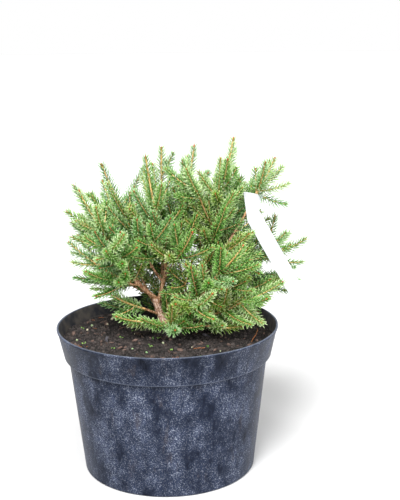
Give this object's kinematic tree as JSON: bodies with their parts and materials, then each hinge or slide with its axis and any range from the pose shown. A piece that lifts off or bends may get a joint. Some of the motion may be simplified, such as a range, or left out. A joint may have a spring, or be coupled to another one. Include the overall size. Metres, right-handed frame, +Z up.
{
  "type": "potted birds nest spruce",
  "caption": "Young birds nest spruce, a low spreading dwarf conifer, in a black nursery pot of potting mix, with a blank white hang tag on a bough.",
  "frame": {"origin": "middle of the pot's flat underside", "axes": "+Z up along the pot's axis; the pictured side of the plant faces -Y, and +X is to its right"},
  "size_m": [0.2598, 0.2299, 0.3379],
  "materials": {
    "pot_plastic": "black injection-moulded polypropylene, satin, scuffed",
    "potting_mix": "moist peat and composted bark, crumbly",
    "old_bark": "rough scaly bark of the trunk",
    "young_bark": "ridged orange-brown bark of the boughs",
    "needles": "stiff four-sided green needles on thin twigs",
    "tag_plastic": "blank white plastic strip, smooth"
  },
  "bodies": {
    "root": {"pot": "pot_plastic", "potting_mix": "potting_mix", "trunk": "old_bark", "hang_tag": "tag_plastic", "bough_left": "young_bark", "bough_left_low": "young_bark", "bough_left_back": "young_bark", "bough_centre": "young_bark", "bough_inner_left": "young_bark", "bough_front_upper": "young_bark", "bough_back_left": "young_bark", "bough_back_left_low": "young_bark", "bough_right": "young_bark", "bough_right_upper": "young_bark", "bough_front_right": "young_bark", "bough_front_middle": "young_bark", "bough_front_centre": "young_bark", "bough_low_right": "young_bark", "bough_low_right_front": "young_bark", "bough_back_right": "young_bark", "bough_back_right_low": "young_bark", "bough_back_right_high": "young_bark", "bough_back": "young_bark", "bough_back_top": "young_bark", "bough_back_high": "young_bark", "bough_back_low": "young_bark", "bough_front_low": "young_bark", "bough_low_left": "young_bark", "bough_low_left_front": "young_bark", "foliage_left": "needles", "foliage_left_low": "needles", "foliage_left_back": "needles", "foliage_centre": "needles", "foliage_inner_left": "needles", "foliage_front_upper": "needles", "foliage_back_left": "needles", "foliage_back_left_low": "needles", "foliage_right": "needles", "foliage_right_upper": "needles", "foliage_front_right": "needles", "foliage_front_middle": "needles", "foliage_front_centre": "needles", "foliage_low_right": "needles", "foliage_low_right_front": "needles", "foliage_back_right": "needles", "foliage_back_right_low": "needles", "foliage_back_right_high": "needles", "foliage_back": "needles", "foliage_back_top": "needles", "foliage_back_high": "needles", "foliage_back_low": "needles", "foliage_front_low": "needles", "foliage_low_left": "needles", "foliage_low_left_front": "needles"}
  },
  "joints": []
}
